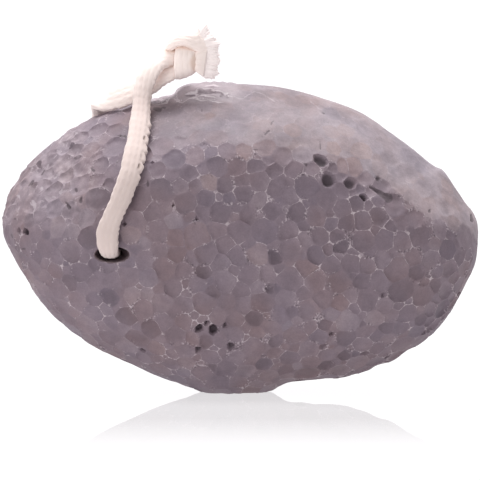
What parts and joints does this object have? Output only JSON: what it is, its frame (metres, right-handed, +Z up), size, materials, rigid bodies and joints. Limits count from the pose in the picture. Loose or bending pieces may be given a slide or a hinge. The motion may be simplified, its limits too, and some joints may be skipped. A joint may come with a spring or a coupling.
{
  "type": "pumice stone",
  "caption": "Rounded foamed stone for smoothing skin, standing on the flat of its lower edge, with a hole near one end for a knotted cotton hanging cord.",
  "frame": {"origin": "on the surface that the stone stands on, under the middle of the stone's box, cord left out", "axes": "+X along the stone's length, away from the cord hole; +Y through its thickness, away from the working face; +Z up"},
  "size_m": [0.1, 0.044, 0.0777],
  "materials": {
    "pumice": "dry matte foamed stone, open cells with thin pale walls",
    "cotton": "soft undyed knitted cotton"
  },
  "bodies": {
    "root": {"stone": "pumice", "cord_loop": "cotton", "cord_knot": "cotton"}
  },
  "joints": []
}
